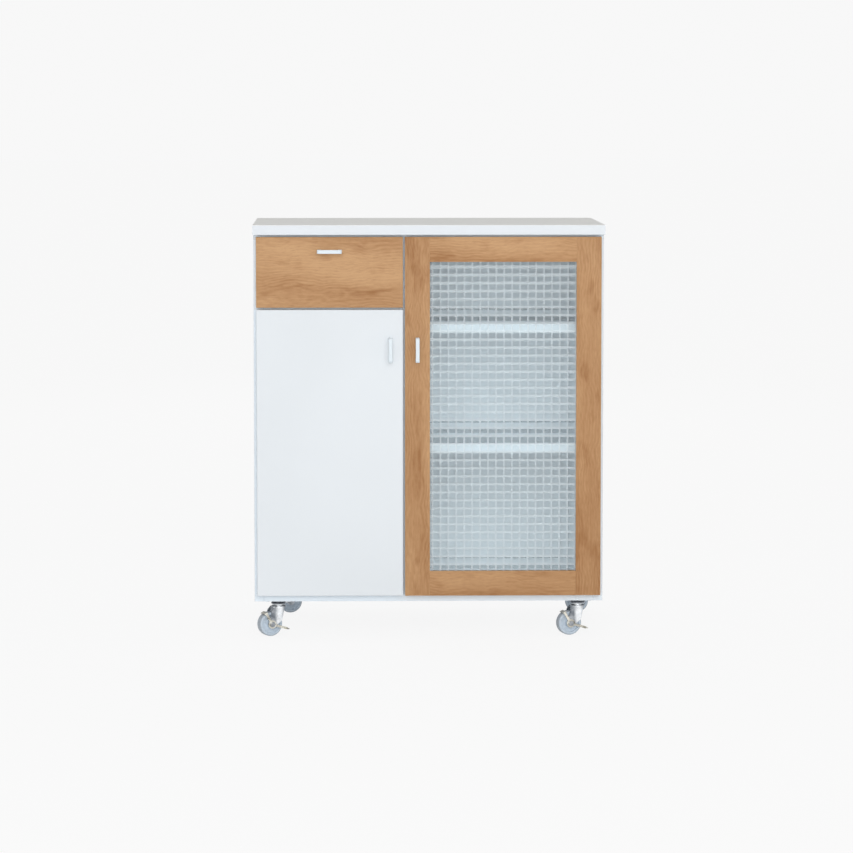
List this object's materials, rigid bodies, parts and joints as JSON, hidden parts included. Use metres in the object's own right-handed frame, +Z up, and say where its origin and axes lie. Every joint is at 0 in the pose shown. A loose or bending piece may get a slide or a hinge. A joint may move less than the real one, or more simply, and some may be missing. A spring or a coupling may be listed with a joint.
{
  "type": "kitchen counter",
  "caption": "White kitchen counter on braked casters, with a wooden drawer over a plain door and a tall wood-framed door of patterned glass in front of shelves.",
  "frame": {"origin": "on the floor, in the middle of the footprint with the handles included", "axes": "+Z up, +X to the right seen from the front, front towards -Y"},
  "size_m": [0.75, 0.47, 0.888],
  "materials": {
    "white_board": "white melamine-faced board",
    "top_board": "pale grey satin laminate",
    "alder": "clear satin lacquer",
    "drawer_wood": "unfinished light wood",
    "dowel_wood": "plain beech",
    "pane": "pressed small-square relief",
    "white_metal": "white powder coat",
    "plated_steel": "bright zinc plate",
    "runner_steel": "white epoxy coat",
    "grey_wheel": "grey elastomer",
    "nylon": "natural nylon"
  },
  "bodies": {
    "cabinet": {"counter_top": "top_board", "left_side_panel": "white_board", "right_side_panel": "white_board", "bottom_panel": "white_board", "centre_divider": "white_board", "back_panel": "white_board", "drawer_rail": "white_board", "front_stretcher": "white_board", "left_shelf": "white_board", "lower_right_shelf": "white_board", "upper_right_shelf": "white_board", "shelf_pins": "plated_steel", "panel_dowels": "dowel_wood", "left_body_runner": "runner_steel", "right_body_runner": "runner_steel", "hinge_arms": "plated_steel", "hinge_plates": "plated_steel", "fitting_screws": "plated_steel", "caster_plates": "plated_steel", "caster_screws": "plated_steel"},
    "drawer": {"drawer_front": "alder", "drawer_handle": "white_metal", "drawer_inner_front": "drawer_wood", "drawer_left_side": "drawer_wood", "drawer_right_side": "drawer_wood", "drawer_back": "drawer_wood", "drawer_bottom": "drawer_wood", "drawer_screws": "plated_steel", "left_drawer_runner": "runner_steel", "right_drawer_runner": "runner_steel"},
    "front_rollers": {"front_rollers": "nylon"},
    "rear_rollers": {"rear_rollers": "nylon"},
    "left_links": {"left_hinge_links": "plated_steel"},
    "left_door": {"left_door_panel": "white_board", "left_door_handle": "white_metal", "left_hinge_cups": "plated_steel", "left_door_screws": "plated_steel"},
    "glass_links": {"glass_hinge_links": "plated_steel"},
    "glass_door": {"left_stile": "alder", "right_stile": "alder", "top_rail": "alder", "bottom_rail": "alder", "checker_glass": "pane", "glazing_beads": "alder", "glass_door_handle": "white_metal", "glass_hinge_cups": "plated_steel", "glass_door_screws": "plated_steel"},
    "front_left_fork": {"front_left_fork": "plated_steel"},
    "front_left_wheel": {"front_left_wheel": "grey_wheel"},
    "front_left_brake_lever": {"front_left_brake_lever": "plated_steel"},
    "front_right_fork": {"front_right_fork": "plated_steel"},
    "front_right_wheel": {"front_right_wheel": "grey_wheel"},
    "front_right_brake_lever": {"front_right_brake_lever": "plated_steel"},
    "rear_left_fork": {"rear_left_fork": "plated_steel"},
    "rear_left_wheel": {"rear_left_wheel": "grey_wheel"},
    "rear_right_fork": {"rear_right_fork": "plated_steel"},
    "rear_right_wheel": {"rear_right_wheel": "grey_wheel"}
  },
  "joints": [
    {"name": "drawer_slide", "type": "slide", "parent": "cabinet", "child": "drawer", "axis": [0, -1, 0], "range_m": [0, 0.3]},
    {"name": "front_roller_spin", "type": "hinge", "parent": "cabinet", "child": "front_rollers", "pos_m": [-0.2085, -0.176, 0.74125], "axis": [1, 0, 0], "continuous": true},
    {"name": "rear_roller_spin", "type": "hinge", "parent": "drawer", "child": "rear_rollers", "pos_m": [-0.2085, 0.171, 0.73905], "axis": [1, 0, 0], "continuous": true},
    {"name": "left_door_hinge", "type": "hinge", "parent": "left_links", "child": "left_door", "pos_m": [-0.3595, -0.198, 0.4], "axis": [0, 0, -1], "range_deg": [0, 123.6]},
    {"name": "left_link_swing", "type": "hinge", "parent": "cabinet", "child": "left_links", "pos_m": [-0.3432, -0.1952, 0.4], "axis": [0, 0, 1], "range_deg": [0, 28.6]},
    {"name": "glass_door_hinge", "type": "hinge", "parent": "glass_links", "child": "glass_door", "pos_m": [0.3595, -0.198, 0.4], "axis": [0, 0, 1], "range_deg": [0, 123.6]},
    {"name": "glass_link_swing", "type": "hinge", "parent": "cabinet", "child": "glass_links", "pos_m": [0.3432, -0.1952, 0.4], "axis": [0, 0, -1], "range_deg": [0, 28.6]},
    {"name": "front_left_swivel", "type": "hinge", "parent": "cabinet", "child": "front_left_fork", "pos_m": [-0.3235, -0.14, 0.07], "axis": [0, 0, 1], "continuous": true},
    {"name": "front_left_roll", "type": "hinge", "parent": "front_left_fork", "child": "front_left_wheel", "pos_m": [-0.34237, -0.14801, 0.026], "axis": [0.3907, -0.9205, 0], "continuous": true},
    {"name": "front_left_brake", "type": "hinge", "parent": "front_left_fork", "child": "front_left_brake_lever", "pos_m": [-0.34237, -0.14801, 0.026], "axis": [0.3907, -0.9205, 0], "range_deg": [0, 20]},
    {"name": "front_right_swivel", "type": "hinge", "parent": "cabinet", "child": "front_right_fork", "pos_m": [0.3235, -0.14, 0.07], "axis": [0, 0, 1], "continuous": true},
    {"name": "front_right_roll", "type": "hinge", "parent": "front_right_fork", "child": "front_right_wheel", "pos_m": [0.3037, -0.14531, 0.026], "axis": [0.2588, -0.9659, 0], "continuous": true},
    {"name": "front_right_brake", "type": "hinge", "parent": "front_right_fork", "child": "front_right_brake_lever", "pos_m": [0.3037, -0.14531, 0.026], "axis": [0.2588, -0.9659, 0], "range_deg": [0, 20]},
    {"name": "rear_left_swivel", "type": "hinge", "parent": "cabinet", "child": "rear_left_fork", "pos_m": [-0.3235, 0.205, 0.07], "axis": [0, 0, 1], "continuous": true},
    {"name": "rear_left_roll", "type": "hinge", "parent": "rear_left_fork", "child": "rear_left_wheel", "pos_m": [-0.30331, 0.20856, 0.026], "axis": [-0.1736, 0.9848, 0], "continuous": true},
    {"name": "rear_right_swivel", "type": "hinge", "parent": "cabinet", "child": "rear_right_fork", "pos_m": [0.3235, 0.205, 0.07], "axis": [0, 0, 1], "continuous": true},
    {"name": "rear_right_roll", "type": "hinge", "parent": "rear_right_fork", "child": "rear_right_wheel", "pos_m": [0.34392, 0.20321, 0.026], "axis": [0.0872, 0.9962, 0], "continuous": true}
  ],
  "couplings": [
    {"joint": "front_roller_spin", "follows": "drawer_slide", "rad_per_m": 121.21},
    {"joint": "rear_roller_spin", "follows": "drawer_slide", "rad_per_m": 121.21},
    {"joint": "left_link_swing", "follows": "left_door_hinge", "ratio": 0.23139},
    {"joint": "glass_link_swing", "follows": "glass_door_hinge", "ratio": 0.23139}
  ]
}
